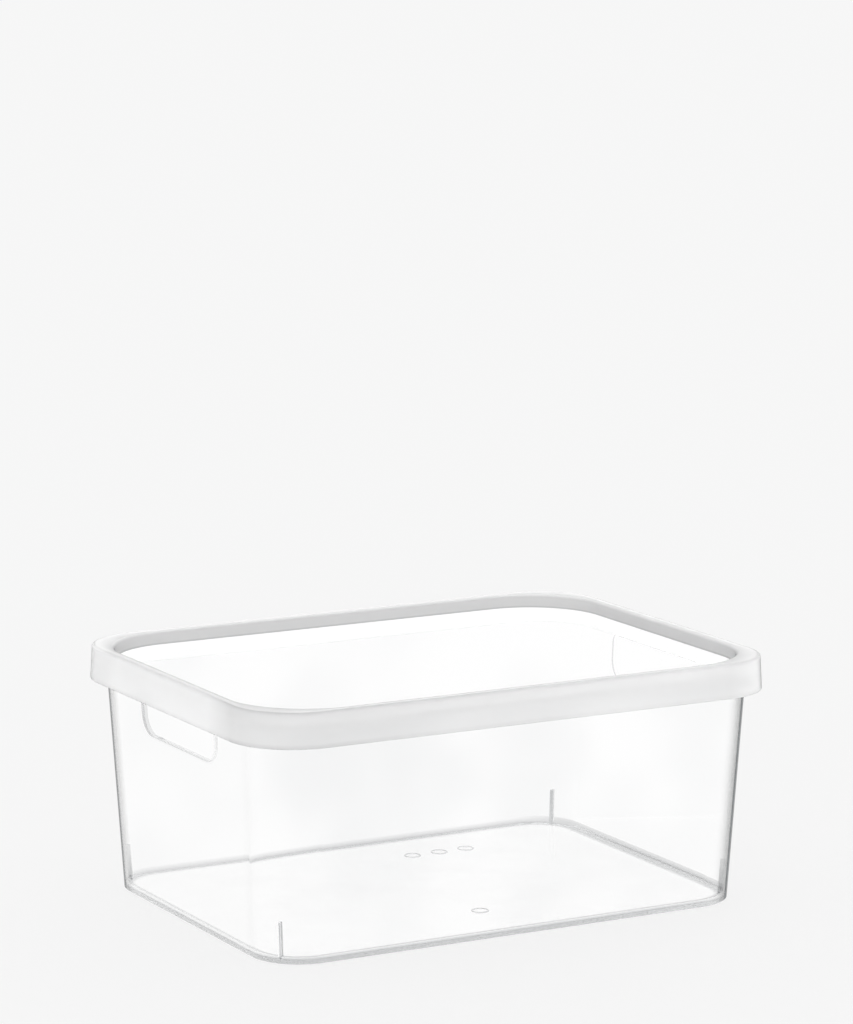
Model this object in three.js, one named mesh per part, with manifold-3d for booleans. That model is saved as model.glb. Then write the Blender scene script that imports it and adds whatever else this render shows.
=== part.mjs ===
// Clear storage box with a lift-off lid.
// The box is one drafted, round-cornered moulding: a tub with a turned-down flange, a collared hand hole in
// each end and a stacking rib in each corner. The lid is a frosted rim with a clear panel lapped into its
// foot. It drops over the flange, and its recessed panel takes the base of the next box.
// Millimetres, +Z up, +X along the box. The origin is the centre of the face that the box stands on.

import * as THREE from "three";
import { mergeVertices } from "three/addons/utils/BufferGeometryUtils.js";
import Module from "manifold-3d";

const wasm = await Module();
wasm.setup();

// Box shell
const BASE_LENGTH = 325.5; // outside, where the walls would meet the table
const BASE_WIDTH = 236;
const BOX_HEIGHT = 144; // table to the top of the flange
const CORNER_RADIUS = 32; // outside of the wall, the same from base to flange
const WALL_DRAFT = 2.95; // degrees that every wall leans out
const WALL = 2;
const FLOOR = 2;
const BASE_ROUND = 0.8; // outside, where wall meets floor
const FLOOR_ROUND = 4; // inside, where wall meets floor

// Flange round the mouth of the box
const FLANGE_REACH = 7; // past the outside of the wall
const FLANGE = 2;
const FLANGE_ROUND = 1.5; // under the flange, where it leaves the wall
const FLANGE_EDGE = 0.8; // rounded outer and mouth edges
const LIP = 1.8; // turned-down edge of the flange
const LIP_DROP = 6; // from the top of the flange to the foot of the lip

// Hand hole in each end
const HOLE_WIDTH = 100;
const HOLE_BOTTOM = 109.3; // height above the table
const HOLE_HEIGHT = 26.7;
const HOLE_LOW_ROUND = 12.5;
const HOLE_TOP_ROUND = 4;
const COLLAR = 1.6; // rim of the hole, in the plane of the wall
const COLLAR_DEPTH = 1.8; // how far that rim stands in from the wall

// Stacking rib in each corner
const RIB_HEIGHT = 23; // above the floor
const RIB_REACH = 3.8; // in from the wall
const RIB = 1.9;
const RIB_TURN = 40; // degrees round the corner from the end wall

// Lid
const SEAT_GAP = 0.3; // between the lid and the flange that carries it
const LID_CLEARANCE = 0.4; // between the skirt and the edge of the flange
const SKIRT = 1.8;
const SKIRT_HEIGHT = 21.4; // overall height of the rim
const SKIRT_FLARE = 3; // degrees that the skirt leans out towards its foot
const SKIRT_EDGE = 0.8; // rounded foot of the skirt
const BEAD_CLEARANCE = 0.25; // between the bead in the skirt's foot and the edge of the flange
const BEAD_HEIGHT = 2.4;
const BEAD_CHAMFER = 0.5;
const RIM_WIDTH = 9.6; // foot of the skirt to the side of the recess
const RIM_WALL = 1.8; // top and inner wall of the rim
const RIM_ROUND = 2.2; // outer top edge
const RECESS_ROUND = 2.2; // inner top edge
const RECESS_DEPTH = 8.3; // top of the rim down to the panel
const RECESS_DRAFT = 1; // degrees that the recess opens upwards
const RECESS_CORNER = 50; // corners of the recess at its foot, wider than those of the skirt
const FOOT_WIDTH = 3.4; // foot of the inner wall, from the side of the recess outwards
const FOOT_HEIGHT = 2.8; // where the foot starts to narrow
const PANEL = 1.9;
const TONGUE = 0.9; // thin edge of the panel, under the inner wall
const LAP_GAP = 0.3; // weld line between panel and rim

// Fineness of the round forms
const CORNER_STEPS = 6; // half the number of chords in a quarter corner
const ROUND_STEPS = 2; // half the number of chords in a rounded edge

const tangent = (degrees) => Math.tan(THREE.MathUtils.degToRad(degrees));
const DRAFT = tangent(WALL_DRAFT);
const FLARE = tangent(SKIRT_FLARE);
const RIB_ANGLE = THREE.MathUtils.degToRad(RIB_TURN);
const QUARTER = Math.PI / 2;

// The base outline grown outwards by `growth`, with its own corner radius, as points at height z.
function ring(growth, radius, z) {
  const x = BASE_LENGTH / 2 + growth - radius;
  const y = BASE_WIDTH / 2 + growth - radius;
  const outline = new THREE.Path();
  outline.absarc(x, y, radius, 0, QUARTER);
  outline.absarc(-x, y, radius, QUARTER, 2 * QUARTER);
  outline.absarc(-x, -y, radius, 2 * QUARTER, 3 * QUARTER);
  outline.absarc(x, -y, radius, 3 * QUARTER, 4 * QUARTER);
  return outline.getPoints(CORNER_STEPS).map((p) => new THREE.Vector3(p.x, p.y, z));
}

// Closed surface through rings of equal count. A joined loft runs from its last ring back to its first, and
// any other ends in two flat faces. Outer rings climb and inner rings descend, so that the faces point out.
function loft(rings, joined) {
  const count = rings[0].length;
  const bands = joined ? rings.length : rings.length - 1;
  const index = [];
  for (let i = 0; i < bands; i++) {
    const low = i * count;
    const high = ((i + 1) % rings.length) * count;
    for (let j = 0; j < count; j++) {
      const k = (j + 1) % count;
      index.push(low + j, low + k, high + k, low + j, high + k, high + j);
    }
  }
  if (!joined) {
    const last = (rings.length - 1) * count;
    for (const [a, b, c] of THREE.ShapeUtils.triangulateShape(rings[0], [])) {
      index.push(a, c, b, last + a, last + b, last + c);
    }
  }
  return new THREE.BufferGeometry().setFromPoints(rings.flat()).setIndex(index);
}

// A closed geometry as a solid that can be joined and cut, and the way back.
function solid(geometry) {
  const bare = geometry.clone();
  bare.deleteAttribute("normal");
  bare.deleteAttribute("uv");
  const merged = mergeVertices(bare);
  const mesh = new wasm.Mesh({
    numProp: 3,
    vertProperties: merged.attributes.position.array,
    triVerts: new Uint32Array(merged.index.array),
  });
  return new wasm.Manifold(mesh);
}

function surface(body) {
  const { vertProperties, triVerts } = body.getMesh();
  const geometry = new THREE.BufferGeometry();
  geometry.setAttribute("position", new THREE.BufferAttribute(vertProperties, 3));
  geometry.setIndex(new THREE.BufferAttribute(triVerts, 1));
  geometry.computeVertexNormals();
  return geometry;
}

// Cross-section of the box: x outwards from the outside of the wall, y up from the table. It runs from the
// underside of the floor, up the wall, round the flange and down the inside to the top of the floor.
function boxSection() {
  const under = BOX_HEIGHT - FLANGE;
  const lipInside = FLANGE_REACH - LIP;
  const lipFoot = BOX_HEIGHT - LIP_DROP;
  const edge = BOX_HEIGHT - FLANGE_EDGE;
  const section = new THREE.Path();
  section.absarc(-BASE_ROUND, BASE_ROUND, BASE_ROUND, -QUARTER, 0);
  section.absarc(FLANGE_ROUND, under - FLANGE_ROUND, FLANGE_ROUND, 2 * QUARTER, QUARTER, true);
  section.lineTo(lipInside, under);
  section.lineTo(lipInside, lipFoot);
  section.lineTo(FLANGE_REACH, lipFoot);
  section.absarc(FLANGE_REACH - FLANGE_EDGE, edge, FLANGE_EDGE, 0, QUARTER);
  section.absarc(FLANGE_EDGE - WALL, edge, FLANGE_EDGE, QUARTER, 2 * QUARTER);
  section.absarc(-WALL - FLOOR_ROUND, FLOOR + FLOOR_ROUND, FLOOR_ROUND, 0, -QUARTER, true);
  return section.getPoints(ROUND_STEPS);
}

function boxShell() {
  const rings = boxSection().map(({ x, y }) => ring(x + y * DRAFT, CORNER_RADIUS + x, y));
  return loft(rings, false);
}

// Outline of a hand hole about its own centre, `growth` larger all round.
function holeOutline(growth) {
  const low = HOLE_LOW_ROUND + growth;
  const top = HOLE_TOP_ROUND + growth;
  const x = HOLE_WIDTH / 2 + growth;
  const y = HOLE_HEIGHT / 2 + growth;
  const outline = new THREE.Shape();
  outline.absarc(x - top, y - top, top, 0, QUARTER);
  outline.absarc(top - x, y - top, top, QUARTER, 2 * QUARTER);
  outline.absarc(low - x, low - y, low, 2 * QUARTER, 3 * QUARTER);
  outline.absarc(x - low, low - y, low, 3 * QUARTER, 4 * QUARTER);
  return outline;
}

// A prism of that outline, square to the end wall: it starts `start` behind the wall's outer face and runs
// inwards for `depth`.
function holePrism(growth, start, depth) {
  const middle = HOLE_BOTTOM + HOLE_HEIGHT / 2;
  const angle = THREE.MathUtils.degToRad(WALL_DRAFT);
  const across = new THREE.Vector3(0, -1, 0);
  const up = new THREE.Vector3(Math.sin(angle), 0, Math.cos(angle));
  const inwards = new THREE.Vector3().crossVectors(across, up);
  const face = new THREE.Vector3(BASE_LENGTH / 2 + middle * DRAFT, 0, middle);
  const place = new THREE.Matrix4().makeBasis(across, up, inwards);
  place.setPosition(face.addScaledVector(inwards, start));
  const options = { depth, bevelEnabled: false, curveSegments: CORNER_STEPS };
  return new THREE.ExtrudeGeometry(holeOutline(growth), options).applyMatrix4(place);
}

// Side view of a stacking rib: x outwards from the centre of the corner, y up from the table. It is rooted in
// the wall and the floor, and its free edge leans with the wall.
function ribOutline() {
  const inside = CORNER_RADIUS - WALL;
  const lean = DRAFT * (Math.cos(RIB_ANGLE) + Math.sin(RIB_ANGLE));
  const top = FLOOR + RIB_HEIGHT;
  const wallRoot = inside + WALL / 2;
  const rootHeight = FLOOR + FLOOR_ROUND;
  const outline = new THREE.Shape();
  outline.moveTo(inside - RIB_REACH, FLOOR / 2);
  outline.lineTo(inside - FLOOR_ROUND / 2, FLOOR / 2);
  outline.lineTo(wallRoot + rootHeight * lean, rootHeight);
  outline.lineTo(wallRoot + top * lean, top);
  outline.lineTo(inside - RIB_REACH + top * lean, top);
  return outline;
}

function stackingRib(sideX, sideY) {
  const outwards = new THREE.Vector3(sideX * Math.cos(RIB_ANGLE), sideY * Math.sin(RIB_ANGLE), 0);
  const up = new THREE.Vector3(0, 0, 1);
  const through = new THREE.Vector3().crossVectors(outwards, up);
  const x = sideX * (BASE_LENGTH / 2 - CORNER_RADIUS);
  const y = sideY * (BASE_WIDTH / 2 - CORNER_RADIUS);
  const place = new THREE.Matrix4().makeBasis(outwards, up, through).setPosition(x, y, 0);
  const rib = new THREE.ExtrudeGeometry(ribOutline(), { depth: RIB, bevelEnabled: false });
  return rib.translate(0, 0, -RIB / 2).applyMatrix4(place);
}

function box() {
  let body = solid(boxShell());
  for (const turn of [0, Math.PI]) {
    const collar = holePrism(COLLAR, WALL / 2, WALL / 2 + COLLAR_DEPTH).rotateZ(turn);
    body = body.add(solid(collar));
  }
  for (const sideX of [1, -1]) {
    for (const sideY of [1, -1]) body = body.add(solid(stackingRib(sideX, sideY)));
  }
  for (const turn of [0, Math.PI]) {
    const hole = holePrism(0, -FLANGE_REACH, FLANGE_REACH + WALL + 2 * COLLAR_DEPTH).rotateZ(turn);
    body = body.subtract(solid(hole));
  }
  return surface(body);
}

// The lid is drawn from the edge of the flange (x outwards) and from its own seat (y up).
const RIM_TOP = PANEL + RECESS_DEPTH;
const SKIRT_FOOT = RIM_TOP - SKIRT_HEIGHT;
const skirtInside = (y) => LID_CLEARANCE - (y + SEAT_GAP) * FLARE;
const skirtOutside = (y) => skirtInside(y) + SKIRT;
const RECESS_SIDE = skirtOutside(SKIRT_FOOT) - RIM_WIDTH;
const recessSide = (y) => RECESS_SIDE + (y - PANEL) * tangent(RECESS_DRAFT);
const LAP_SIDE = RECESS_SIDE + RIM_WALL;

// The skirt follows the corners of the flange. The recess, its foot and the panel have corners of their own.
function lidRing({ x, y }) {
  const reach = FLANGE_REACH + x;
  const ofRecess = x <= RECESS_SIDE + FOOT_WIDTH;
  const radius = ofRecess ? RECESS_CORNER + x - RECESS_SIDE : CORNER_RADIUS + reach;
  return ring(BOX_HEIGHT * DRAFT + reach, radius, y);
}

// Cross-section of the rim: up the skirt, over the top, down the recess, under the foot and up the channel.
function rimSection() {
  const ceiling = RIM_TOP - RIM_WALL;
  const beadTop = SKIRT_FOOT + BEAD_HEIGHT;
  const lapTop = TONGUE + LAP_GAP;
  const footOutside = RECESS_SIDE + FOOT_WIDTH;
  const roundY = RIM_TOP - RIM_ROUND;
  const section = new THREE.Path();
  const edgeX = skirtOutside(SKIRT_FOOT) - SKIRT_EDGE;
  section.absarc(edgeX, SKIRT_FOOT + SKIRT_EDGE, SKIRT_EDGE, -QUARTER, 0);
  section.absarc(skirtOutside(roundY) - RIM_ROUND, roundY, RIM_ROUND, 0, QUARTER);
  const recessTop = recessSide(RIM_TOP - RECESS_ROUND);
  section.absarc(recessTop + RECESS_ROUND, RIM_TOP - RECESS_ROUND, RECESS_ROUND, QUARTER, 2 * QUARTER);
  section.lineTo(RECESS_SIDE, lapTop);
  section.lineTo(LAP_SIDE, lapTop);
  section.lineTo(LAP_SIDE, 0);
  section.lineTo(footOutside, 0);
  section.lineTo(footOutside, FOOT_HEIGHT);
  section.lineTo(LAP_SIDE, FOOT_HEIGHT + FOOT_WIDTH - RIM_WALL);
  section.lineTo(LAP_SIDE, ceiling);
  section.lineTo(skirtInside(ceiling), ceiling);
  section.lineTo(skirtInside(beadTop), beadTop);
  section.lineTo(BEAD_CLEARANCE, beadTop - BEAD_CHAMFER);
  section.lineTo(BEAD_CLEARANCE, SKIRT_FOOT + BEAD_CHAMFER);
  section.lineTo(BEAD_CLEARANCE + BEAD_CHAMFER, SKIRT_FOOT);
  return section.getPoints(ROUND_STEPS);
}

function lidRim() {
  return loft(rimSection().map(lidRing), true);
}

// The panel's edge is stepped: a thin tongue runs under the inner wall, and the full panel stops short of it.
function lidPanel() {
  const tongueEdge = LAP_SIDE - LAP_GAP;
  const panelEdge = RECESS_SIDE - LAP_GAP;
  const section = [
    new THREE.Vector2(tongueEdge, 0),
    new THREE.Vector2(tongueEdge, TONGUE),
    new THREE.Vector2(panelEdge, TONGUE),
    new THREE.Vector2(panelEdge, PANEL),
  ];
  return loft(section.map(lidRing), false);
}

function clearPlastic() {
  return new THREE.MeshStandardMaterial({
    color: 0xf3f6f7,
    roughness: 0.06,
    metalness: 0,
    transparent: true,
    opacity: 0.3,
  });
}

function frostedPlastic() {
  return new THREE.MeshStandardMaterial({
    color: 0xe6e8ea,
    roughness: 0.55,
    metalness: 0,
    transparent: true,
    opacity: 0.85,
  });
}

function piece(name, geometry, material) {
  const mesh = new THREE.Mesh(geometry, material);
  mesh.name = name;
  return mesh;
}

const lid = new THREE.Group();
lid.position.z = BOX_HEIGHT + SEAT_GAP;
lid.add(piece("lid_rim", lidRim(), frostedPlastic()), piece("lid_panel", lidPanel(), clearPlastic()));

const storageBox = new THREE.Group();
storageBox.add(piece("box", box(), clearPlastic()), lid);

export default storageBox;
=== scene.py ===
import math

import bmesh
import bpy
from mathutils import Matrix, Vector


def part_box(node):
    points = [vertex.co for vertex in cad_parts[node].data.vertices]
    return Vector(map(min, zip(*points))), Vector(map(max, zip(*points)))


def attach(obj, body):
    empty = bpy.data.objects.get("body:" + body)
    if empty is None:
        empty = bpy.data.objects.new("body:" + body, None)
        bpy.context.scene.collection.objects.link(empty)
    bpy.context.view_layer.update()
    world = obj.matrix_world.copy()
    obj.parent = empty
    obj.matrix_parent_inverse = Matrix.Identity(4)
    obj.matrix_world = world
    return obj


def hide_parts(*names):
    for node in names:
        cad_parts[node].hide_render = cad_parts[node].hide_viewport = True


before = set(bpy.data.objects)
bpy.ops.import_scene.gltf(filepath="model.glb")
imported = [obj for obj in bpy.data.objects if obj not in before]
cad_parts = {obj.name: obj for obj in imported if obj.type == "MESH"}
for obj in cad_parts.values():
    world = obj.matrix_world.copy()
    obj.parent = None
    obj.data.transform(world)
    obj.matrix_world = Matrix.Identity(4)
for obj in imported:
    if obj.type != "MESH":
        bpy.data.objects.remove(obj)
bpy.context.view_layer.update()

MM = 0.001

# The frame's own sizes
box_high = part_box("box")[1]
rim_low, rim_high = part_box("lid_rim")
panel_low, panel_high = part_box("lid_panel")

# Box moulding
WALL_LEAN = math.radians(2.95)
CORNER = 32 * MM  # outside of the wall, from base to flange
WALL = 2 * MM
FLOOR = 2 * MM
BASE_ROUND = 0.8 * MM
BASE_EDGE = 2.2 * MM  # width of the painted shade along the edge under the base
BASE_BAND = (3.6 * MM, 5 * MM)  # where the painted shade of the base fades up the wall
FLOOR_ROUND = 4 * MM
FLOOR_EDGE = 3 * MM  # how far the painted shade of the floor's round runs out on to the floor
FLOOR_FADE = 0.8 * MM  # and how far it runs up the wall
FLANGE_REACH = 7 * MM
FLANGE = 2 * MM
FLANGE_ROUND = 1.5 * MM
FLANGE_EDGE = 0.8 * MM
LIP = 1.8 * MM
LIP_DROP = 6 * MM
LIP_EDGE = 0.5 * MM

# Hand hole in each end
HOLE_WIDTH = 100 * MM
HOLE_BOTTOM = 109.3 * MM
HOLE_HEIGHT = 26.7 * MM
HOLE_LOW_ROUND = 12.5 * MM
HOLE_TOP_ROUND = 4 * MM
HOLE_EDGE = 0.4 * MM
COLLAR = 1.6 * MM
COLLAR_DEPTH = 1.8 * MM
COLLAR_EDGE = 0.4 * MM
HOLE_BORDER = 3.6 * MM  # flat ring round the hole on the outer face
HOLE_LINE = 0.5 * MM  # where the painted shade of the hole's edge fades out on that ring

# Stacking ribs in the corners, and the plain moulding rings on the floor
RIB_HEIGHT = 23 * MM
RIB_REACH = 3.8 * MM
RIB = 1.9 * MM
RIB_TURN = math.radians(40)
RIB_EDGE = 0.4 * MM
MARK_PLACES = ((31.5 * MM, 74 * MM), (51 * MM, 74 * MM), (70.5 * MM, 74 * MM), (3 * MM, -65 * MM))
MARK_RADIUS = 5.5 * MM
MARK_LINE = 1.1 * MM
MARK_HEIGHT = 0.5 * MM
MARK_EDGE = 0.25 * MM

# Lid
SKIRT = 1.8 * MM
SKIRT_FLARE = math.radians(3)
SKIRT_EDGE = 0.8 * MM
SKIRT_BAND = (3 * MM, 5 * MM)  # plain band: its start above the skirt's foot, its end below the outer round
BEAD = 0.7 * MM  # how far the bead stands in from the skirt
BEAD_HEIGHT = 2.4 * MM
BEAD_EDGE = 0.5 * MM
RIM_WIDTH = 9.6 * MM
RIM_WALL = 1.8 * MM
RIM_ROUND = 2.2 * MM
EDGE_LINE = 1.5 * MM  # where the painted shade of the rim's edges fades out on its top
RECESS_ROUND = 2.2 * MM
RECESS_CORNER = 50 * MM
RECESS_DRAFT = math.radians(1)
RECESS_FOOT = (1.2 * MM, 0.4 * MM)  # above the panel: where the painted shade at the recess's foot starts and is full
FOOT_WIDTH = 3.4 * MM
FOOT_HEIGHT = 2.8 * MM
TONGUE = 0.9 * MM
LAP_GAP = 0.3 * MM
PANEL_EDGE = 0.25 * MM
INSIDE_EDGE = 0.4 * MM  # small rounds inside the rim's channel

# Painted shade of the box, from 0 for clear to 1, as the front shows them: grey where its edges, ribs and
# rings look dark. A corner is named by its signs of x and y.
FLOOR_ROUND_TONES = (0.12, 0.75)  # at the top of the floor's round and at its foot
FLOOR_ROUND_SPAN = (0.4, 0.9)  # shares of the round's height, from the top, between which the grey grows
END_TONE = 0.55  # floor's round along the right end
NEAR_BASE_TONE = 0.75  # base band of the walls that face the camera
FAR_BASE_TONE = 0.2  # base band of the other walls
NEAR_BASE_REACH = 0.1  # how far the nearer grey reaches past the walls that face the camera
BASE_EDGE_TONE = 0.8
HOLE_TONE = 0.45  # edge of the near hand hole
MARK_TONE = 0.65
RIB_TONES = {(-1, -1): 1.0, (-1, 1): 0.24, (1, -1): 0.3, (1, 1): 0.95}
OUTLINE_TONES = {(-1, -1): 0.12, (-1, 1): 1.0, (1, -1): 1.5, (1, 1): 1.0}

# Painted shade of the rim
RECESS_TONES = (0.36, 0.92)  # at the top of the recess's round and at its foot
RECESS_MOST = 0.72
RECESS_FOOT_TONE = 0.9
RIM_ROUND_TONES = (0.04, 0.36)  # at the foot of the outer round and at its top
SKIRT_FOOT_TONE = 0.13
NEAR_ROUND_TONE = 0.3  # further painted shade by the corner that faces the camera
NEAR_TOP_TONE = 0.1
NEAR_FOOT_TONE = 0.34
NEAR_SKIRT_TONE = 0.24
NEAR_ROUND_REACH = 0.5 * MM  # past the radius of the outer round
SIDE_CORNER_TONES = {(-1, -1): 0.0, (-1, 1): 0.3, (1, -1): 0.06, (1, 1): 0.0}

# Margins for finding the face that a point lies on
SLACK = 0.1 * MM
HAIR = 0.05 * MM
UNDERSIDE = 0.15 * MM  # height up to which the base's round counts as its underside
COLLAR_START = 0.03 * MM  # from the inner face of the wall
RIB_START = 0.3 * MM  # from the floor
RIB_STOP = 0.8 * MM  # from the wall

# Fineness
CORNER_STEPS = 32
CORNER_RUN = (8 * MM, 4 * MM)  # further points on the straight sides, back from each corner
LID_RUN = (60 * MM, 30 * MM, 12 * MM, 4 * MM)
ROUND_STEPS = 6
SMALL_STEPS = 3
HOLE_STEPS = 14
MARK_STEPS = 40
SHARP = math.radians(35)

# Camera, from the photograph's own perspective
CAMERA_PLACE = Vector((-1.2361, -2.2610, 0.6811))
CAMERA_TURN = math.radians(-28.698)
CAMERA_DOWN = math.radians(9.721)
CAMERA_LENS = 149.44
CAMERA_RANGE = 200.0

UP = Vector((0, 0, 1))
BOX_HEIGHT = box_high.z
LEAN = math.tan(WALL_LEAN)
GROWTH = FLANGE_REACH + (BOX_HEIGHT - FLANGE_EDGE) * LEAN
BASE_HALF = Vector((box_high.x - GROWTH, box_high.y - GROWTH))
RIM_TOP = rim_high.z
SKIRT_FOOT = rim_low.z
SEAT = panel_low.z
PANEL_TOP = panel_high.z
LID_HALF = Vector((rim_high.x, rim_high.y))
LID_CORNER = CORNER + LID_HALF.x - BASE_HALF.x - BOX_HEIGHT * LEAN


# Drawing

def as_share(value):
    """The value kept between 0 and 1."""
    return max(0.0, min(1.0, value))


def arc(x, z, radius, start, end, steps=ROUND_STEPS):
    """Points of a section's rounded edge about (x, z), from one angle to another in degrees."""
    angles = [math.radians(start + (end - start) * i / steps) for i in range(steps + 1)]
    return [(x + radius * math.cos(a), z + radius * math.sin(a)) for a in angles]


def outline(half, radius, z, runs=CORNER_RUN):
    """Points round a rectangle with round corners, anticlockwise from above, a corner at a time."""
    points = []
    for quarter, (side_x, side_y) in enumerate(((1, 1), (-1, 1), (-1, -1), (1, -1))):
        middle = Vector((side_x * (half.x - radius), side_y * (half.y - radius), z))
        start = 90 * quarter
        corner = [Vector((x, y, 0)) for x, y in arc(0, 0, radius, start, start + 90, CORNER_STEPS)]
        before = corner[0].cross(UP).normalized()
        after = UP.cross(corner[-1]).normalized()
        corner = [corner[0] + before * run for run in runs] + corner
        corner += [corner[-1] + after * run for run in reversed(runs)]
        points += [middle + point for point in corner]
    return points


def circle(place, radius, z):
    return [Vector((place[0] + x, place[1] + y, z)) for x, y in arc(0, 0, radius, 0, 360, MARK_STEPS)[:-1]]


def loft(bm, rings, joined=False, capped=False, gaps=()):
    """Faces through rings of equal count. gaps holds the (band, step) of each face that is left open."""
    rows = [[bm.verts.new(point) for point in ring] for ring in rings]
    count = len(rows[0])
    bands = list(zip(rows, rows[1:]))
    if joined:
        bands.append((rows[-1], rows[0]))
    for band, (low, high) in enumerate(bands):
        for step in range(count):
            after = (step + 1) % count
            if (band, step) not in gaps:
                bm.faces.new((low[step], low[after], high[after], high[step]))
    if capped:
        bm.faces.new(rows[0][::-1])
        bm.faces.new(rows[-1])
    return rows


def fill(bm, *loops):
    """A flat face between a border and the hole in it, each given as its corners in order."""
    edges = []
    for loop in loops:
        for a, b in zip(loop, loop[1:] + loop[:1]):
            edges.append(bm.edges.get((a, b)) or bm.edges.new((a, b)))
    bmesh.ops.triangle_fill(bm, use_beauty=True, use_dissolve=False, edges=edges)


def make_object(name, bm):
    bmesh.ops.recalc_face_normals(bm, faces=bm.faces[:])
    mesh = bpy.data.meshes.new(name)
    bm.to_mesh(mesh)
    bm.free()
    piece = bpy.data.objects.new(name, mesh)
    bpy.context.scene.collection.objects.link(piece)
    return piece


def set_values(piece, name, values):
    """A named value for each vertex of the piece, for its material to use."""
    piece.data.attributes.new(name, "FLOAT", "POINT").data.foreach_set("value", values)


def settle(piece):
    """Makes the piece's modifiers part of its mesh."""
    depsgraph = bpy.context.evaluated_depsgraph_get()
    mesh = bpy.data.meshes.new_from_object(piece.evaluated_get(depsgraph))
    piece.modifiers.clear()
    old, piece.data = piece.data, mesh
    mesh.name = piece.name
    bpy.data.meshes.remove(old)


def smooth(piece):
    """Smooth shading that keeps flat faces flat and real edges sharp."""
    piece.data.shade_smooth()
    piece.data.set_sharp_from_angle(angle=SHARP)
    weighted = piece.modifiers.new("flat_faces_stay_flat", "WEIGHTED_NORMAL")
    weighted.keep_sharp = True


# Box moulding: section, hand holes, ribs and rings

def box_section():
    """Rounded stretches of the box's section, as (offset from the outside of the wall, height)."""
    under = BOX_HEIGHT - FLANGE
    lip_inside = FLANGE_REACH - LIP
    lip_foot = BOX_HEIGHT - LIP_DROP
    edge = BOX_HEIGHT - FLANGE_EDGE
    return [
        [(-BASE_ROUND - BASE_EDGE, 0)] + arc(-BASE_ROUND, BASE_ROUND, BASE_ROUND, -90, 0)
        + [(0, z) for z in BASE_BAND],
        arc(FLANGE_ROUND, under - FLANGE_ROUND, FLANGE_ROUND, 180, 90),
        arc(lip_inside - LIP_EDGE, under - LIP_EDGE, LIP_EDGE, 90, 0),
        arc(lip_inside + LIP_EDGE, lip_foot + LIP_EDGE, LIP_EDGE, 180, 270),
        arc(FLANGE_REACH - LIP_EDGE, lip_foot + LIP_EDGE, LIP_EDGE, -90, 0),
        arc(FLANGE_REACH - FLANGE_EDGE, edge, FLANGE_EDGE, 0, 90),
        arc(FLANGE_EDGE - WALL, edge, FLANGE_EDGE, 90, 180),
        [(-WALL, FLOOR + FLOOR_ROUND + FLOOR_FADE)]
        + arc(-WALL - FLOOR_ROUND, FLOOR + FLOOR_ROUND, FLOOR_ROUND, 0, -90)
        + [(-WALL - FLOOR_ROUND - FLOOR_EDGE, FLOOR)],
    ]


def box_ring(offset, z):
    growth = offset + z * LEAN
    return outline(BASE_HALF + Vector((growth, growth)), CORNER + offset, z)


def hole_ring(side, growth, depth):
    """The hand hole's outline, grown all round and set back into the end wall on one side."""
    half_width = HOLE_WIDTH / 2 + growth
    half_height = HOLE_HEIGHT / 2 + growth
    low = HOLE_LOW_ROUND + growth
    top = HOLE_TOP_ROUND + growth
    flat = arc(half_width - top, half_height - top, top, 0, 90, HOLE_STEPS)
    flat += arc(top - half_width, half_height - top, top, 90, 180, HOLE_STEPS)
    flat += arc(low - half_width, low - half_height, low, 180, 270, HOLE_STEPS)
    flat += arc(half_width - low, low - half_height, low, 270, 360, HOLE_STEPS)
    middle = HOLE_BOTTOM + HOLE_HEIGHT / 2
    face = BASE_HALF.x + middle * LEAN
    sine, cosine = math.sin(WALL_LEAN), math.cos(WALL_LEAN)
    points = []
    for across, up in flat:
        x = face + up * sine - depth * cosine
        z = middle + up * cosine + depth * sine
        points.append(Vector((side * x, across, z)))
    return points


def collar_section():
    """The hole's border, edge and collar, as (growth, depth) from the wall's outer face to its inner one."""
    wall = WALL * math.cos(WALL_LEAN)
    end = wall + COLLAR_DEPTH
    section = [(HOLE_BORDER, 0), (HOLE_EDGE + HOLE_LINE, 0)]
    section += arc(HOLE_EDGE, HOLE_EDGE, HOLE_EDGE, 270, 180)
    section += arc(COLLAR_EDGE, end - COLLAR_EDGE, COLLAR_EDGE, 180, 90)
    section += arc(COLLAR - COLLAR_EDGE, end - COLLAR_EDGE, COLLAR_EDGE, 90, 0)
    section += arc(COLLAR + COLLAR_EDGE, wall + COLLAR_EDGE, COLLAR_EDGE, 180, 270)
    return section


def box_shell():
    """The shell as one closed skin, with the end walls left open and then filled round their hand holes."""
    rounds = box_section()
    rings = [box_ring(*point) for stretch in rounds for point in stretch]
    outer_wall = len(rounds[0]) - 1
    inner_wall = len(rings) - len(rounds[-1]) - 1
    count = len(rings[0])
    end_steps = {1: count - 1, -1: count // 2 - 1}
    gaps = {(wall, step) for wall in (outer_wall, inner_wall) for step in end_steps.values()}
    bm = bmesh.new()
    rows = loft(bm, rings, capped=True, gaps=gaps)
    for side, step in end_steps.items():
        collar = loft(bm, [hole_ring(side, *point) for point in collar_section()])
        for wall, hole in ((outer_wall, collar[0]), (inner_wall, collar[-1])):
            low, high = rows[wall], rows[wall + 1]
            after = (step + 1) % count
            fill(bm, [low[step], low[after], high[after], high[step]], hole)
    return make_object("box_moulding", bm)


def rib_outline():
    """Side view of a stacking rib: distance from the corner's centre, and height."""
    inside = CORNER - WALL
    lean = LEAN * (math.cos(RIB_TURN) + math.sin(RIB_TURN))
    top = FLOOR + RIB_HEIGHT
    root = inside + WALL / 2
    root_height = FLOOR + FLOOR_ROUND
    return [
        (inside - RIB_REACH, FLOOR / 2),
        (inside - FLOOR_ROUND / 2, FLOOR / 2),
        (root + root_height * lean, root_height),
        (root + top * lean, top),
        (inside - RIB_REACH + top * lean, top),
    ]


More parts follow.
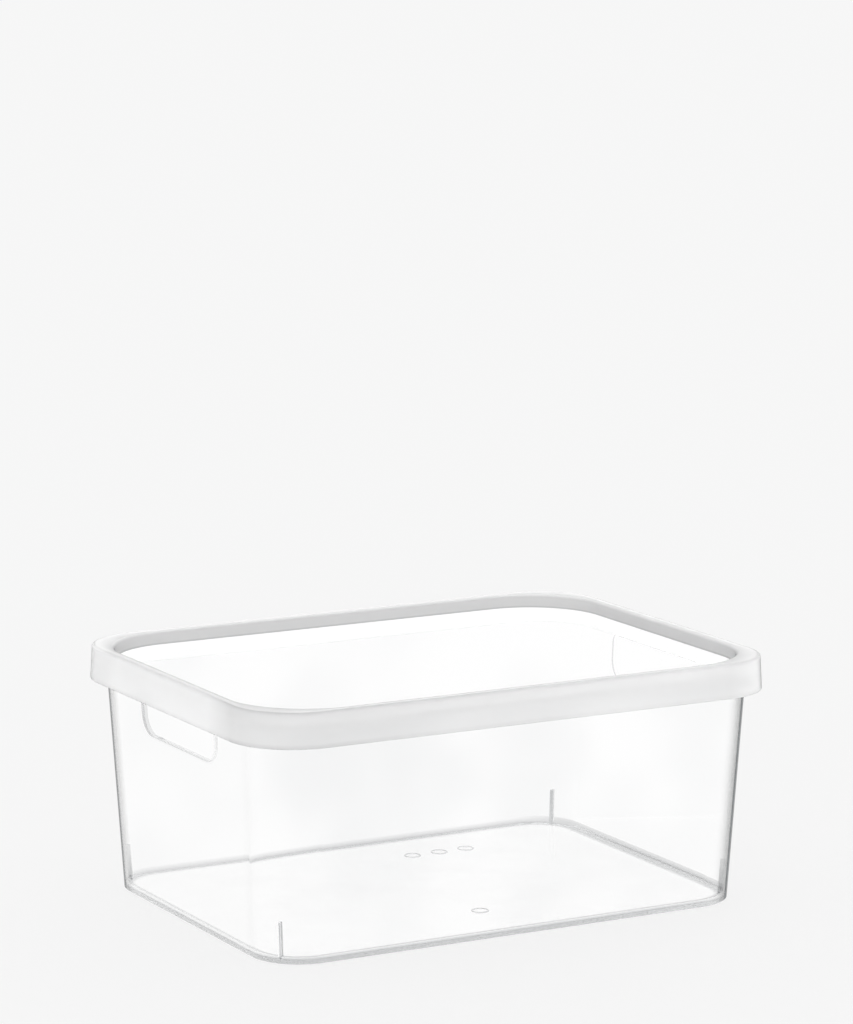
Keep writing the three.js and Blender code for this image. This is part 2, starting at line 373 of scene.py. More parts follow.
def add_rib(bm, side_x, side_y):
    along = Vector((side_x * math.cos(RIB_TURN), side_y * math.sin(RIB_TURN), 0))
    through = along.cross(UP)
    middle = Vector((side_x * (BASE_HALF.x - CORNER), side_y * (BASE_HALF.y - CORNER), 0))
    sides = []
    for shift in (-RIB / 2, RIB / 2):
        points = [middle + along * x + through * shift + Vector((0, 0, z)) for x, z in rib_outline()]
        sides.append(points)
    rows = loft(bm, sides, capped=True)
    free = [(row[-1], row[0]) for row in rows] + [(row[-2], row[-1]) for row in rows]
    free.append((rows[0][-1], rows[1][-1]))
    edges = [bm.edges.get(pair) for pair in free]
    bmesh.ops.bevel(bm, geom=edges, offset=RIB_EDGE, segments=SMALL_STEPS, profile=0.5, affect="EDGES")


def add_mark(bm, place):
    """A plain raised ring, rooted in the floor."""
    root, top = FLOOR / 2, FLOOR + MARK_HEIGHT
    outside, inside = MARK_RADIUS, MARK_RADIUS - MARK_LINE
    section = [
        (outside, root),
        *arc(outside - MARK_EDGE, top - MARK_EDGE, MARK_EDGE, 0, 90, SMALL_STEPS),
        *arc(inside + MARK_EDGE, top - MARK_EDGE, MARK_EDGE, 90, 180, SMALL_STEPS),
        (inside, root),
    ]
    loft(bm, [circle(place, radius, z) for radius, z in section], joined=True)


def box_moulding():
    shell = box_shell()
    bm = bmesh.new()
    for side_x in (1, -1):
        for side_y in (1, -1):
            add_rib(bm, side_x, side_y)
    for place in MARK_PLACES:
        add_mark(bm, place)
    inside_features = make_object("inside_features", bm)
    join = shell.modifiers.new("ribs_and_marks", "BOOLEAN")
    join.operation = "UNION"
    join.solver = "EXACT"
    join.object = inside_features
    settle(shell)
    bpy.data.objects.remove(inside_features)
    points = [vertex.co.copy() for vertex in shell.data.vertices]
    # Painted shade, kept in the vertices: greys of edges and rings, and the walls' outlines
    set_values(shell, "painted_shade_tone", [painted_shade_tone(point) for point in points])
    set_values(shell, "wall_share", [wall_share(point) * outline_share(point) for point in points])
    set_values(shell, "passing", [passing(point) for point in points])
    smooth(shell)
    return shell


# Places on the box

def corner_of(point):
    return int(math.copysign(1, point.x)), int(math.copysign(1, point.y))


def past_corner(point, height=0.0):
    """How far a point lies past the centre of its corner's round at a height, along x and along y."""
    x = abs(point.x) - BASE_HALF.x + CORNER - height * LEAN
    y = abs(point.y) - BASE_HALF.y + CORNER - height * LEAN
    return x, y


def wall_offset(point):
    """How far a point lies outside the outer face of the walls at its height."""
    x, y = past_corner(point, point.z)
    if x > 0 and y > 0:
        return math.hypot(x, y) - CORNER
    return max(x, y) - CORNER


def outwards(point):
    """The way that the nearest wall faces, seen from above."""
    x, y = (max(0.0, past) for past in past_corner(point))
    return Vector((math.copysign(x, point.x), math.copysign(y, point.y))).normalized()


def is_far(point):
    return outwards(point).dot(CAMERA_PLACE.xy) < 0


def hole_growth(point):
    """How far a point lies outside the outline of the hand hole, seen from the end."""
    up = point.z - HOLE_BOTTOM - HOLE_HEIGHT / 2
    radius = HOLE_TOP_ROUND if up > 0 else HOLE_LOW_ROUND
    across = abs(point.y) - HOLE_WIDTH / 2 + radius
    above = abs(up) - HOLE_HEIGHT / 2 + radius
    return math.hypot(max(across, 0), max(above, 0)) + min(max(across, above), 0) - radius


def on_rib(point):
    """On the part of a stacking rib that stands free of the floor and the wall."""
    x, y = past_corner(point)
    along = x * math.cos(RIB_TURN) + y * math.sin(RIB_TURN)
    across = abs(y * math.cos(RIB_TURN) - x * math.sin(RIB_TURN))
    beside_wall = along < CORNER - WALL - RIB_STOP + point.z * LEAN
    above_floor = FLOOR + RIB_START < point.z < FLOOR + RIB_HEIGHT + SLACK
    return across < RIB / 2 + HAIR and beside_wall and above_floor


def on_flange(point):
    """On the flange and its lip, apart from the rings where they leave the wall."""
    root = BOX_HEIGHT - FLANGE - FLANGE_ROUND + HAIR
    foot = BOX_HEIGHT - LIP_DROP - HAIR
    offset = wall_offset(point)
    return (offset > -WALL + HAIR and point.z > root) or (offset > FLANGE_ROUND and point.z > foot)


# Painted shade of the box

def painted_shade_tone(point):
    """How grey the painted shade is on the plastic: ribs, base, near hand hole, rings and floor's round."""
    if on_rib(point):
        return RIB_TONES[corner_of(point)]
    offset = wall_offset(point)
    if point.z < UNDERSIDE:
        return BASE_EDGE_TONE if offset > -BASE_ROUND - SLACK else 0.0
    if hole_growth(point) < HOLE_EDGE + HOLE_LINE / 2 and -point.x > BASE_HALF.x - 2 * WALL:
        return HOLE_TONE
    if offset >= -WALL / 2:
        return base_tone(point) if point.z < BASE_BAND[0] + SLACK else 0.0
    if offset < -WALL - FLOOR_ROUND - SLACK:
        return MARK_TONE if FLOOR + SLACK < point.z < FLOOR + MARK_HEIGHT + SLACK else 0.0
    return floor_round_tone(point)


def base_tone(point):
    """The grey of the painted shade on the base band, deeper where the wall faces the camera."""
    towards = outwards(point).dot(CAMERA_PLACE.xy.normalized())
    near = as_share(NEAR_BASE_REACH + towards)
    return FAR_BASE_TONE + (NEAR_BASE_TONE - FAR_BASE_TONE) * near


def floor_round_tone(point):
    """The grey of the painted shade on the round between floor and walls, which starts higher along the right
    end.
    """
    down = FLOOR + FLOOR_ROUND - point.z
    if down < -SLACK:
        return 0.0
    at_end = END_TONE * max(0.0, outwards(point).x)
    if down < SLACK:
        return at_end
    start, stop = FLOOR_ROUND_SPAN
    top, foot = FLOOR_ROUND_TONES
    return max(at_end, top + (foot - top) * as_share((down / FLOOR_ROUND - start) / (stop - start)))


def wall_share(point):
    """1 on the outer face of the walls, 0 inside and round the hand holes, where no painted shade darkens the
    outline.
    """
    margin = COLLAR + COLLAR_EDGE + SLACK
    beside = abs(point.y) > HOLE_WIDTH / 2 + margin
    clear = point.z < HOLE_BOTTOM - margin or point.z > HOLE_BOTTOM + HOLE_HEIGHT + margin
    return 1.0 if wall_offset(point) > -WALL / 2 and (beside or clear) else 0.0


def outline_share(point):
    """The painted shade of the outline at each corner, fading out along the straight sides."""
    share = as_share(1 + min(past_corner(point, point.z)) / CORNER_RUN[0])
    return share * OUTLINE_TONES[corner_of(point)]


def passing(point):
    """Where light that has been through plastic passes straight on: 1 on the collar and border of the far
    hand hole and on the far flange, 2 on the outside of the near hole's collar, 0 elsewhere."""
    if on_flange(point):
        return 1.0 if is_far(point) else 0.0
    growth = hole_growth(point)
    depth = -wall_offset(point)
    if depth > WALL + COLLAR_DEPTH + SLACK or growth > HOLE_BORDER / 2:
        return 0.0
    if point.x < 0:
        return 2.0 if depth > WALL + COLLAR_START and growth > COLLAR / 2 else 0.0
    on_border = depth < HAIR and growth > HOLE_EDGE - HAIR
    on_collar = depth > HOLE_EDGE - HAIR and growth < COLLAR + COLLAR_EDGE / 2
    return 1.0 if on_border or on_collar else 0.0


# Lid: the rim and the panel, drawn inwards from the foot of the skirt

def lid_ring(inset, z):
    """The skirt follows the box's corners; the recess, its foot and the panel have wider corners."""
    of_recess = inset > RIM_WIDTH - FOOT_WIDTH - HAIR
    radius = RECESS_CORNER + RIM_WIDTH - inset if of_recess else LID_CORNER - inset
    return outline(LID_HALF - Vector((inset, inset)), radius, z, LID_RUN)


def skirt_outside(z):
    return (z - SKIRT_FOOT) * math.tan(SKIRT_FLARE)


def skirt_inside(z):
    return skirt_outside(z) + SKIRT


def rim_section():
    """The rim's section as (inset, height): up the skirt, over the top, down the recess, up the channel."""
    recess = RIM_WIDTH
    recess_top = recess - (RIM_TOP - RECESS_ROUND - PANEL_TOP) * math.tan(RECESS_DRAFT)
    lap = recess - RIM_WALL
    lap_top = SEAT + TONGUE + LAP_GAP
    foot = recess - FOOT_WIDTH
    foot_top = SEAT + FOOT_HEIGHT
    ceiling = RIM_TOP - RIM_WALL
    bead_top = SKIRT_FOOT + BEAD_HEIGHT
    bead = skirt_inside(SKIRT_FOOT) + BEAD
    round_z = RIM_TOP - RIM_ROUND
    edge = INSIDE_EDGE
    band_start, band_end = SKIRT_BAND
    section = arc(SKIRT_EDGE, SKIRT_FOOT + SKIRT_EDGE, SKIRT_EDGE, 270, 180)
    section += [(skirt_outside(z), z) for z in (SKIRT_FOOT + band_start, round_z - band_end)]
    section += arc(skirt_outside(round_z) + RIM_ROUND, round_z, RIM_ROUND, 180, 90)
    section += [(RIM_ROUND + EDGE_LINE, RIM_TOP), (recess_top - RECESS_ROUND - EDGE_LINE, RIM_TOP)]
    section += arc(recess_top - RECESS_ROUND, RIM_TOP - RECESS_ROUND, RECESS_ROUND, 90, 0)
    section += [(recess, PANEL_TOP + height) for height in RECESS_FOOT]
    section += [(recess, lap_top), (lap, lap_top), (lap, SEAT), (foot, SEAT), (foot, foot_top)]
    section += [(lap, foot_top + FOOT_WIDTH - RIM_WALL)]
    section += arc(lap - edge, ceiling - edge, edge, 0, 90, SMALL_STEPS)
    section += arc(skirt_inside(ceiling) + edge, ceiling - edge, edge, 90, 180, SMALL_STEPS)
    section += [(skirt_inside(bead_top), bead_top)]
    section += arc(bead - BEAD_EDGE, bead_top - BEAD_EDGE, BEAD_EDGE, 45, 0, SMALL_STEPS)
    section += arc(bead - BEAD_EDGE, SKIRT_FOOT + BEAD_EDGE, BEAD_EDGE, 0, -90, SMALL_STEPS + 1)
    return section


def rim_painted_shade(inset, z):
    """How grey the painted shade of the rim is all round: the side of the recess, the outer round and the
    skirt's foot.
    """
    if z > SEAT - SLACK and inset > RIM_WIDTH - RECESS_ROUND - EDGE_LINE / 2:
        if z < PANEL_TOP + RECESS_FOOT[1] + SLACK:
            return RECESS_FOOT_TONE
        top, foot = RECESS_TONES
        return min(RECESS_MOST, top + (foot - top) * (RIM_TOP - z) / RECESS_ROUND)
    if inset < RIM_ROUND + EDGE_LINE - SLACK and z > RIM_TOP - RIM_ROUND - SLACK:
        foot, top = RIM_ROUND_TONES
        return foot + (top - foot) * ((z - RIM_TOP + RIM_ROUND) / RIM_ROUND) ** 2
    if z < SKIRT_FOOT + SKIRT_EDGE + SLACK and inset < SKIRT:
        return SKIRT_FOOT_TONE
    return 0.0


def near_corner_share(place):
    """1 in the corner that faces the camera, fading out along the long side and soon on the short one."""
    x = -place.x - LID_HALF.x + LID_CORNER
    y = -place.y - LID_HALF.y + LID_CORNER
    return as_share(1 + min(x / (2 * LID_HALF.x), y / LID_RUN[1]))


def near_corner_tone(inset, z, share):
    """Further painted shade of the skirt by the corner that faces the camera, deepest along its foot."""
    if z > RIM_TOP - RIM_ROUND - SLACK:
        on_round = inset < RIM_ROUND + NEAR_ROUND_REACH
        return (NEAR_ROUND_TONE if on_round else NEAR_TOP_TONE) * share
    if inset > SKIRT_EDGE + SLACK:
        return 0.0
    if z < SKIRT_FOOT + SKIRT_EDGE + SLACK:
        return NEAR_FOOT_TONE * share ** 3
    return NEAR_SKIRT_TONE * share


def side_corner_tone(inset, place):
    """Further painted shade of the skirt in the corners at the left and right."""
    if inset > SKIRT - 2 * SLACK:
        return 0.0
    x = abs(place.x) - LID_HALF.x + LID_CORNER
    y = abs(place.y) - LID_HALF.y + LID_CORNER
    return SIDE_CORNER_TONES[corner_of(place)] * as_share(1 + min(x, y) / LID_RUN[1])


def lid_rim():
    section = rim_section()
    rings = [lid_ring(*point) for point in section]
    bm = bmesh.new()
    loft(bm, rings, joined=True)
    rim = make_object("lid_rim_moulding", bm)
    tones = []
    for (inset, z), ring in zip(section, rings):
        for place in ring:
            near = near_corner_tone(inset, z, near_corner_share(place))
            tones.append(rim_painted_shade(inset, z) + near + side_corner_tone(inset, place))
    set_values(rim, "rim_painted_shade", tones)
    smooth(rim)
    return rim


def lid_panel():
    tongue = RIM_WIDTH - RIM_WALL + LAP_GAP
    edge = RIM_WIDTH + LAP_GAP
    tongue_top = SEAT + TONGUE
    section = arc(tongue + PANEL_EDGE, SEAT + PANEL_EDGE, PANEL_EDGE, 270, 180, SMALL_STEPS)
    section += arc(tongue + PANEL_EDGE, tongue_top - PANEL_EDGE, PANEL_EDGE, 180, 90, SMALL_STEPS)
    section += [(edge, tongue_top)]
    section += arc(edge + PANEL_EDGE, PANEL_TOP - PANEL_EDGE, PANEL_EDGE, 180, 90, SMALL_STEPS)
    bm = bmesh.new()
    loft(bm, [lid_ring(*point) for point in section], capped=True)
    panel = make_object("lid_panel_window", bm)
    smooth(panel)
    return panel


# Materials. A turn is one face that light meets on its way.

CAUGHT = 26.0  # turns inside the plastic before light is let out
STRAIGHT = 4.5  # just over the turns of light that goes straight through two walls
FIRST_WALL = 1.5  # just over the turns of light that comes to the far face of the first wall
BOX_BEND = 1.5  # how strongly the plastic bends light
WINDOW_BEND = 1.03
RIM_BEND = 1.17

CLEAR = (1, 1, 1, 1)
CLEAR_GLOSS = (0.15, 0.15, 0.15, 1)
INSIDE_TINT = (0.60, 0.62, 0.63, 1)
INSIDE_DENSITY = 0.4
CLEAR_SURFACE = {"Wave Size": 25.0, "Grain Share": 0.0, "Smoothest": 0.0, "Roughest": 0.03}
CLEAR_BUMP = (0.05, 0.2 * MM)  # strength and depth

WALL_TINT = (0.999, 0.999, 0.999, 1)
CLOUD_TINT = (0.955, 0.957, 0.958, 1)
CLOUD_SIZE = 14.0
CLOUD_SPAN = (0.3, 0.7)
# Painted shade: grey for the edges and rings, near black for the walls' outlines
PAINTED_SHADE_TINT = (0.28, 0.29, 0.30, 1)
OUTLINE_TINT = (0.004, 0.006, 0.007, 1)
SOFT_OUTLINE = (0.30, 0.68)  # turn away at which each half of a wall's painted outline shade starts and is full
SHARP_OUTLINE = (0.66, 0.80)
OUTLINE_HALF = 0.5
LEVEL_FACES = (0.9, 0.99)  # how far a face looks up or down where it is nearly level and where it is level
LEVEL_ROUGHNESS = 0.07
UPRIGHT_FACES = {"Upright": 0.15, "Level": 0.4}

MILKY_TINT = (0.999, 0.999, 0.999, 1)
# Painted shade of the rim: grey for its recess, edges and corners, lighter grey for its outline
RIM_GREY = (0.16, 0.16, 0.165, 1)
RIM_OUTLINE = (0.3, 0.3, 0.305, 1)
INDIRECT_GREY = 0.04  # share of the rim's painted shade that shows through other plastic
SIDE_TURN = (0.62, 0.96)  # turn away at which the rim's painted outline shade starts and is full
FAINT_TURN = (0.76, 0.80)
FAINT_OUTLINE = 0.22
FULL_TURN = (0.80, 0.97)
FROSTED_SURFACE = {
    "Wave Size": 60.0, "Grain Size": 3000.0, "Grain Share": 0.8, "Smoothest": 0.7, "Roughest": 0.8,
}
FROSTED_BUMP = (0.25, 0.05 * MM)


def new_material(name):
    material = bpy.data.materials.new(name)
    material.use_nodes = True
    nodes = material.node_tree.nodes
    return material, nodes, material.node_tree.links, nodes["Principled BSDF"]


def put(links, value, socket):
    """Gives a socket its value: a link from another socket, or a constant."""
    if isinstance(value, bpy.types.NodeSocket):
        links.new(value, socket)
    else:
        socket.default_value = value


def math_node(nodes, links, operation, *values):
    node = nodes.new("ShaderNodeMath")
    node.operation = operation
    for socket, value in zip(node.inputs, values):
        put(links, value, socket)
    return node.outputs[0]


def ramp(nodes, links, value, low, high, to_low=0.0, to_high=1.0, kind="SMOOTHSTEP"):
    node = nodes.new("ShaderNodeMapRange")
    node.interpolation_type = kind
    names = ("Value", "From Min", "From Max", "To Min", "To Max")
    for name, given in zip(names, (value, low, high, to_low, to_high)):
        put(links, given, node.inputs[name])
    return node.outputs[0]


def mix_colour(nodes, links, factor, low, high):
    node = nodes.new("ShaderNodeMix")
    node.data_type = "RGBA"
    links.new(factor, node.inputs[0])
    put(links, low, node.inputs[6])
    put(links, high, node.inputs[7])
    return node.outputs[2]


def noise(nodes, links, scale, detail):
    """Soft patches that stay with the piece."""
    place = nodes.new("ShaderNodeTexCoord")
    patches = nodes.new("ShaderNodeTexNoise")
    links.new(place.outputs["Object"], patches.inputs["Vector"])
    put(links, scale, patches.inputs["Scale"])
    patches.inputs["Detail"].default_value = detail
    return patches.outputs[0]


def vertex_value(nodes, name):
    value = nodes.new("ShaderNodeAttribute")
    value.attribute_name = name
    return value.outputs["Fac"]


def facing(nodes):
    """How far a face turns away from where it is seen: 0 face on, 1 edge on."""
    layer = nodes.new("ShaderNodeLayerWeight")
    layer.inputs["Blend"].default_value = 0.5
    return layer.outputs["Facing"]


def normal_part(nodes, links, axis):
    """How far the surface faces along an axis, either way: 0 to 1."""
    geometry = nodes.new("ShaderNodeNewGeometry")
    split = nodes.new("ShaderNodeSeparateXYZ")
    links.new(geometry.outputs["Normal"], split.inputs[0])
    return math_node(nodes, links, "ABSOLUTE", split.outputs[axis])


def new_group(name, given, results):
    """A node group with its named inputs, each with a usual value, and its named results."""
    group = bpy.data.node_groups.new(name, "ShaderNodeTree")
    for title, value in given.items():
        socket = group.interface.new_socket(title, in_out="INPUT", socket_type="NodeSocketFloat")
        socket.default_value = value
    for title in results:
        group.interface.new_socket(title, in_out="OUTPUT", socket_type="NodeSocketFloat")
    inputs = group.nodes.new("NodeGroupInput")
    outputs = group.nodes.new("NodeGroupOutput")
    return group, group.nodes, group.links, inputs.outputs, outputs.inputs


def place_group(nodes, group, values):
    node = nodes.new("ShaderNodeGroup")
    node.node_tree = group
    for name, value in values.items():
        node.inputs[name].default_value = value
    return node.outputs


def moulded_surface_group():
    """Slow waves and fine grain of a moulded surface, with the roughness that goes with them."""
    usual = {"Wave Size": 30.0, "Grain Size": 2500.0, "Grain Share": 0.1, "Smoothest": 0.02, "Roughest": 0.06}
    group, nodes, links, given, results = new_group("moulded_surface", usual, ("Height", "Roughness"))
    waves = noise(nodes, links, given["Wave Size"], 1.0)
    grain = noise(nodes, links, given["Grain Size"], 3.0)
    height = nodes.new("ShaderNodeMix")
    links.new(given["Grain Share"], height.inputs[0])
    links.new(waves, height.inputs[2])
    links.new(grain, height.inputs[3])
    links.new(height.outputs[0], results["Height"])
    rough = ramp(nodes, links, waves, 0.3, 0.7, given["Smoothest"], given["Roughest"], "LINEAR")
    links.new(rough, results["Roughness"])
    return group


def upright_faces_group():
    """A mask that is 1 on upright faces and fades to 0 on level ones."""
    group, nodes, links, given, results = new_group("upright_faces", UPRIGHT_FACES, ("Mask",))
    up = normal_part(nodes, links, "Z")
    links.new(ramp(nodes, links, up, given["Upright"], given["Level"], 1.0, 0.0), results["Mask"])
    return group


def add_surface(nodes, links, shader, moulded, values, bump_values):
    """Places the moulded surface in a material, with its own values, and gives back its roughness."""
    surface = place_group(nodes, moulded, values)
    bump = nodes.new("ShaderNodeBump")
    bump.inputs["Strength"].default_value, bump.inputs["Distance"].default_value = bump_values
    links.new(surface["Height"], bump.inputs["Height"])
    links.new(bump.outputs["Normal"], shader.inputs["Normal"])
    links.new(surface["Roughness"], shader.inputs["Roughness"])
    return surface["Roughness"]


def turns_below(nodes, links, most):
    """1 for light that has met fewer faces than given, else 0."""
    path = nodes.new("ShaderNodeLightPath")
    return math_node(nodes, links, "LESS_THAN", path.outputs["Ray Depth"], most)


def let_out(nodes, links, shader, most):
    """Light that has been caught in the plastic for long leaves it, as it does through small flaws."""
    links.new(turns_below(nodes, links, most), shader.inputs["Alpha"])


def clear_plastic(name, bend):
    material, nodes, links, shader = new_material(name)
    shader.inputs["Base Color"].default_value = CLEAR
    shader.inputs["Specular Tint"].default_value = CLEAR_GLOSS
    shader.inputs["IOR"].default_value = bend
    shader.inputs["Transmission Weight"].default_value = 1
    inside = nodes.new("ShaderNodeVolumeAbsorption")
    inside.inputs["Color"].default_value = INSIDE_TINT
    inside.inputs["Density"].default_value = INSIDE_DENSITY
    links.new(inside.outputs["Volume"], nodes["Material Output"].inputs["Volume"])
    return material, nodes, links, shader


def clouded_tint(nodes, links, straight):
    """Faint slow clouds in the long walls, for light that goes straight through."""
    cloud = ramp(nodes, links, noise(nodes, links, CLOUD_SIZE, 1.0), *CLOUD_SPAN)
    cloud = math_node(nodes, links, "MULTIPLY", cloud, straight)
    cloud = math_node(nodes, links, "MULTIPLY", cloud, normal_part(nodes, links, "Y"))
    return mix_colour(nodes, links, cloud, WALL_TINT, CLOUD_TINT)


def outline_painted_shade(nodes, links, upright):
    """Painted shade at an upright wall's outline, by how far it turns away: 0 face on, 1 at its outline, for
    light in the first wall.
    """
    away = facing(nodes)
    soft = ramp(nodes, links, away, *SOFT_OUTLINE, 0.0, OUTLINE_HALF)
    line = ramp(nodes, links, away, *SHARP_OUTLINE, 0.0, OUTLINE_HALF)
    edge = math_node(nodes, links, "ADD", soft, line)
    mask = place_group(nodes, upright, UPRIGHT_FACES)["Mask"]
    for share in (mask, vertex_value(nodes, "wall_share"), turns_below(nodes, links, FIRST_WALL)):
        edge = math_node(nodes, links, "MULTIPLY", edge, share)
    return edge


def box_turns(nodes, links):
    """The turns before light is let out of the box: few where "passing" is 1, and one fewer where it is 2."""
    here = vertex_value(nodes, "passing")
    most = ramp(nodes, links, here, 0.0, 0.1, CAUGHT, FIRST_WALL, "LINEAR")
    return math_node(nodes, links, "SUBTRACT", most, math_node(nodes, links, "GREATER_THAN", here, 1.1))


def clear_box_plastic(moulded, upright):
    material, nodes, links, shader = clear_plastic("clear_box_plastic", BOX_BEND)
    let_out(nodes, links, shader, box_turns(nodes, links))
    straight = turns_below(nodes, links, STRAIGHT)
    tint = clouded_tint(nodes, links, straight)
    path = nodes.new("ShaderNodeLightPath")
    unmirrored = math_node(nodes, links, "SUBTRACT", straight, path.outputs["Is Reflection Ray"])
    # Painted shade of edges, ribs and rings, for light that goes straight through and is not mirrored
    shade_share = math_node(nodes, links, "MULTIPLY", vertex_value(nodes, "painted_shade_tone"), unmirrored)
    tint = mix_colour(nodes, links, shade_share, tint, PAINTED_SHADE_TINT)
    # Painted shade: the walls' outlines darkened nearly to black
    tint = mix_colour(nodes, links, outline_painted_shade(nodes, links, upright), tint, OUTLINE_TINT)
    links.new(tint, shader.inputs["Base Color"])
    rough = add_surface(nodes, links, shader, moulded, CLEAR_SURFACE, CLEAR_BUMP)
    level = ramp(nodes, links, normal_part(nodes, links, "Z"), *LEVEL_FACES, 0.0, LEVEL_ROUGHNESS)
    links.new(math_node(nodes, links, "ADD", rough, level), shader.inputs["Roughness"])
    return material


def clear_window_plastic(moulded):
    material, nodes, links, shader = clear_plastic("clear_window_plastic", WINDOW_BEND)
    let_out(nodes, links, shader, STRAIGHT)
    add_surface(nodes, links, shader, moulded, CLEAR_SURFACE, CLEAR_BUMP)
    return material


def rim_outline_painted_shade(nodes, links, upright):
    """Painted shade at the rim's outline: wide on its upright faces, and narrow with a faint border on all.
    """
    away = facing(nodes)
    mask = place_group(nodes, upright, UPRIGHT_FACES)["Mask"]
    side = math_node(nodes, links, "MULTIPLY", ramp(nodes, links, away, *SIDE_TURN), mask)
    faint = ramp(nodes, links, away, *FAINT_TURN, 0.0, FAINT_OUTLINE)
    full = ramp(nodes, links, away, *FULL_TURN)
    return math_node(nodes, links, "MAXIMUM", math_node(nodes, links, "MAXIMUM", side, faint), full)


def frosted_rim_plastic(moulded, upright):
    material, nodes, links, shader = new_material("frosted_rim_plastic")
    let_out(nodes, links, shader, CAUGHT)
    seen = nodes.new("ShaderNodeLightPath").outputs["Is Camera Ray"]
    # Painted shade from the vertex values, in full to the camera and faintly through other plastic, then
    # painted shade at the outline
    grey = vertex_value(nodes, "rim_painted_shade")
    shown = ramp(nodes, links, seen, 0.0, 1.0, INDIRECT_GREY, 1.0, "LINEAR")
    tone = math_node(nodes, links, "MULTIPLY", grey, shown)
    tint = mix_colour(nodes, links, tone, MILKY_TINT, RIM_GREY)
    edge = math_node(nodes, links, "MULTIPLY", rim_outline_painted_shade(nodes, links, upright), seen)
    edge = math_node(nodes, links, "MULTIPLY", edge, math_node(nodes, links, "SUBTRACT", 1.0, grey))
    links.new(mix_colour(nodes, links, edge, tint, RIM_OUTLINE), shader.inputs["Base Color"])
    shader.inputs["IOR"].default_value = RIM_BEND
    shader.inputs["Transmission Weight"].default_value = 1
    add_surface(nodes, links, shader, moulded, FROSTED_SURFACE, FROSTED_BUMP)
    return material


# Stage

FLOOR_GAP = 0.5 * MM
FLOOR_HALF = 30.0
FLOOR_LIT = 0.97
FLOOR_SHADE = 0.1  # share of real light and shadow in what the camera sees of the floor
FLOOR_MIRRORED = 0.8
BACKGROUND = 0.9245
FRONT_LIGHT = 0.65
BACK_LIGHT = 1.2
KEY_PLACE = Vector((-1.0, -0.3, 1.3))
KEY_SPREAD = math.radians(70)
KEY_STRENGTH = 0.35
BOUNCES = 40


def grey_shader(nodes, kind, level):
    """A shader in one even grey, from 0 for black to 1 for white."""
    node = nodes.new(kind)
    node.inputs["Color"].default_value = (level, level, level, 1)
    return node.outputs[0]


def mix_shader(nodes, links, factor, first, second):
    node = nodes.new("ShaderNodeMixShader")
    put(links, factor, node.inputs[0])
    links.new(first, node.inputs[1])
    links.new(second, node.inputs[2])
    return node.outputs[0]


def pale_floor():
    """White through plastic, a little greyer as a mirror image, and the background's tone to the camera."""
    material, nodes, links, unused = new_material("pale_floor")
    nodes.remove(unused)
    diffuse = grey_shader(nodes, "ShaderNodeBsdfDiffuse", FLOOR_LIT)
    plain = grey_shader(nodes, "ShaderNodeEmission", BACKGROUND)
    bright = grey_shader(nodes, "ShaderNodeEmission", 1)
    mirrored = grey_shader(nodes, "ShaderNodeEmission", FLOOR_MIRRORED)
    path = nodes.new("ShaderNodeLightPath").outputs
    seen = mix_shader(nodes, links, FLOOR_SHADE, plain, diffuse)
    surface = mix_shader(nodes, links, path["Is Glossy Ray"], diffuse, mirrored)
    surface = mix_shader(nodes, links, path["Is Transmission Ray"], surface, bright)
    surface = mix_shader(nodes, links, path["Is Camera Ray"], surface, seen)
    links.new(surface, nodes["Material Output"].inputs["Surface"])
    material.cycles.emission_sampling = "NONE"
    return material


def make_floor():
    bm = bmesh.new()
    corners = [(-1, -1), (1, -1), (1, 1), (-1, 1)]
    bm.faces.new([bm.verts.new((x * FLOOR_HALF, y * FLOOR_HALF, -FLOOR_GAP)) for x, y in corners])
    floor = make_object("floor", bm)
    floor.data.materials.append(pale_floor())


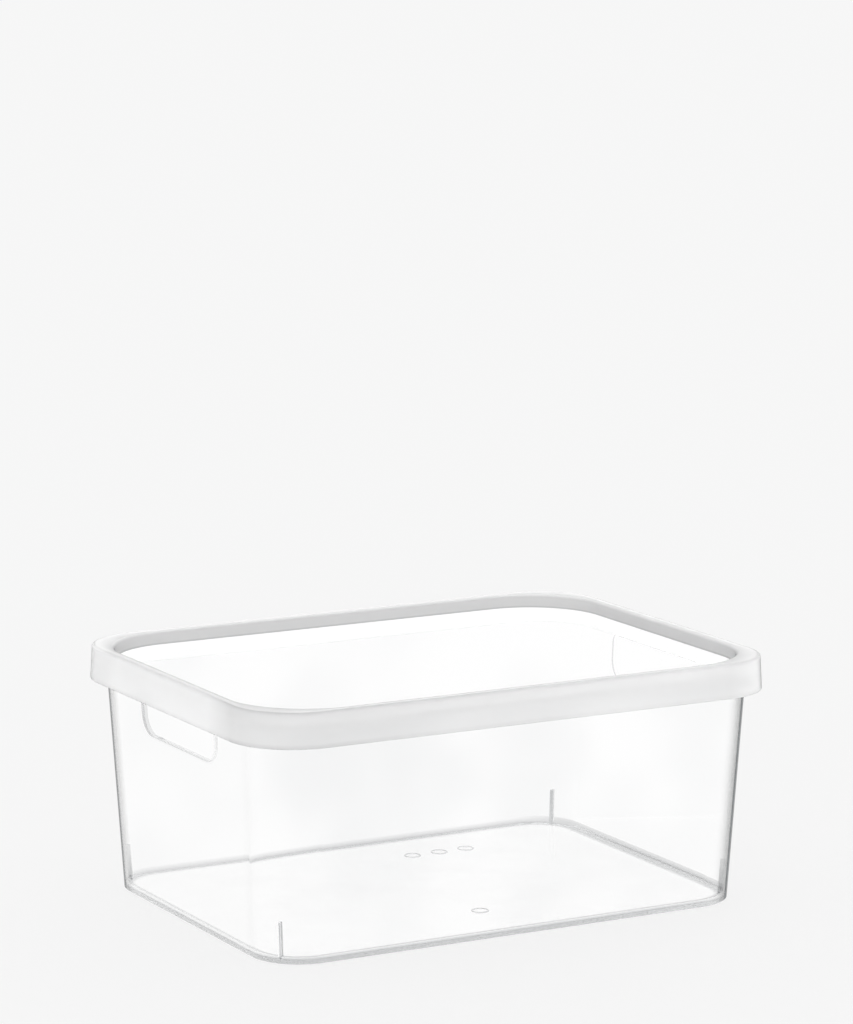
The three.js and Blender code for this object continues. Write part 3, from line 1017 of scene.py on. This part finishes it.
def make_world():
    """Soft light from all round, stronger from behind, with a plain pale background."""
    world = bpy.data.worlds.new("studio")
    bpy.context.scene.world = world
    world.use_nodes = True
    nodes, links = world.node_tree.nodes, world.node_tree.links
    lit = nodes["Background"]
    lit.inputs["Color"].default_value = CLEAR
    place = nodes.new("ShaderNodeTexCoord")
    towards = nodes.new("ShaderNodeVectorMath")
    towards.operation = "DOT_PRODUCT"
    links.new(place.outputs["Generated"], towards.inputs[0])
    towards.inputs[1].default_value = CAMERA_PLACE.normalized()
    level = ramp(nodes, links, towards.outputs["Value"], -1.0, 1.0, BACK_LIGHT, FRONT_LIGHT, "LINEAR")
    links.new(level, lit.inputs["Strength"])
    seen = grey_shader(nodes, "ShaderNodeBackground", BACKGROUND)
    bright = grey_shader(nodes, "ShaderNodeBackground", 1)
    path = nodes.new("ShaderNodeLightPath").outputs
    in_plastic = math_node(nodes, links, "MAXIMUM", path["Is Glossy Ray"], path["Is Transmission Ray"])
    around = mix_shader(nodes, links, in_plastic, lit.outputs[0], bright)
    around = mix_shader(nodes, links, path["Is Camera Ray"], around, seen)
    links.new(around, nodes["World Output"].inputs["Surface"])


def stand(name, data, place, ahead):
    """Puts a lamp or a camera at a place, looking ahead."""
    holder = bpy.data.objects.new(name, data)
    holder.location = place
    holder.rotation_mode = "QUATERNION"
    holder.rotation_quaternion = ahead.to_track_quat("-Z", "Y")
    bpy.context.scene.collection.objects.link(holder)
    return holder


def make_key_light():
    lamp = bpy.data.lights.new("key_light", "SUN")
    lamp.angle = KEY_SPREAD
    lamp.energy = KEY_STRENGTH
    stand("key_light", lamp, KEY_PLACE, -KEY_PLACE)


def make_camera():
    camera = bpy.data.cameras.new("camera")
    camera.lens = CAMERA_LENS
    camera.clip_end = CAMERA_RANGE
    level = math.cos(CAMERA_DOWN)
    ahead = Vector((-math.sin(CAMERA_TURN) * level, math.cos(CAMERA_TURN) * level, -math.sin(CAMERA_DOWN)))
    bpy.context.scene.camera = stand("camera", camera, CAMERA_PLACE, ahead)


def dress(piece, node, body, material):
    piece.data.materials.append(material)
    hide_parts(node)
    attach(piece, body)


moulded_surface = moulded_surface_group()
upright_faces = upright_faces_group()
clear_box = clear_box_plastic(moulded_surface, upright_faces)
clear_window = clear_window_plastic(moulded_surface)
frosted_rim = frosted_rim_plastic(moulded_surface, upright_faces)
dress(box_moulding(), "box", "box", clear_box)
dress(lid_rim(), "lid_rim", "lid", frosted_rim)
dress(lid_panel(), "lid_panel", "lid", clear_window)

make_floor()
make_world()
make_key_light()
make_camera()

scene = bpy.context.scene
scene.view_settings.view_transform = "Standard"
scene.cycles.max_bounces = BOUNCES
scene.cycles.transmission_bounces = BOUNCES
scene.cycles.glossy_bounces = BOUNCES
scene.cycles.transparent_max_bounces = BOUNCES
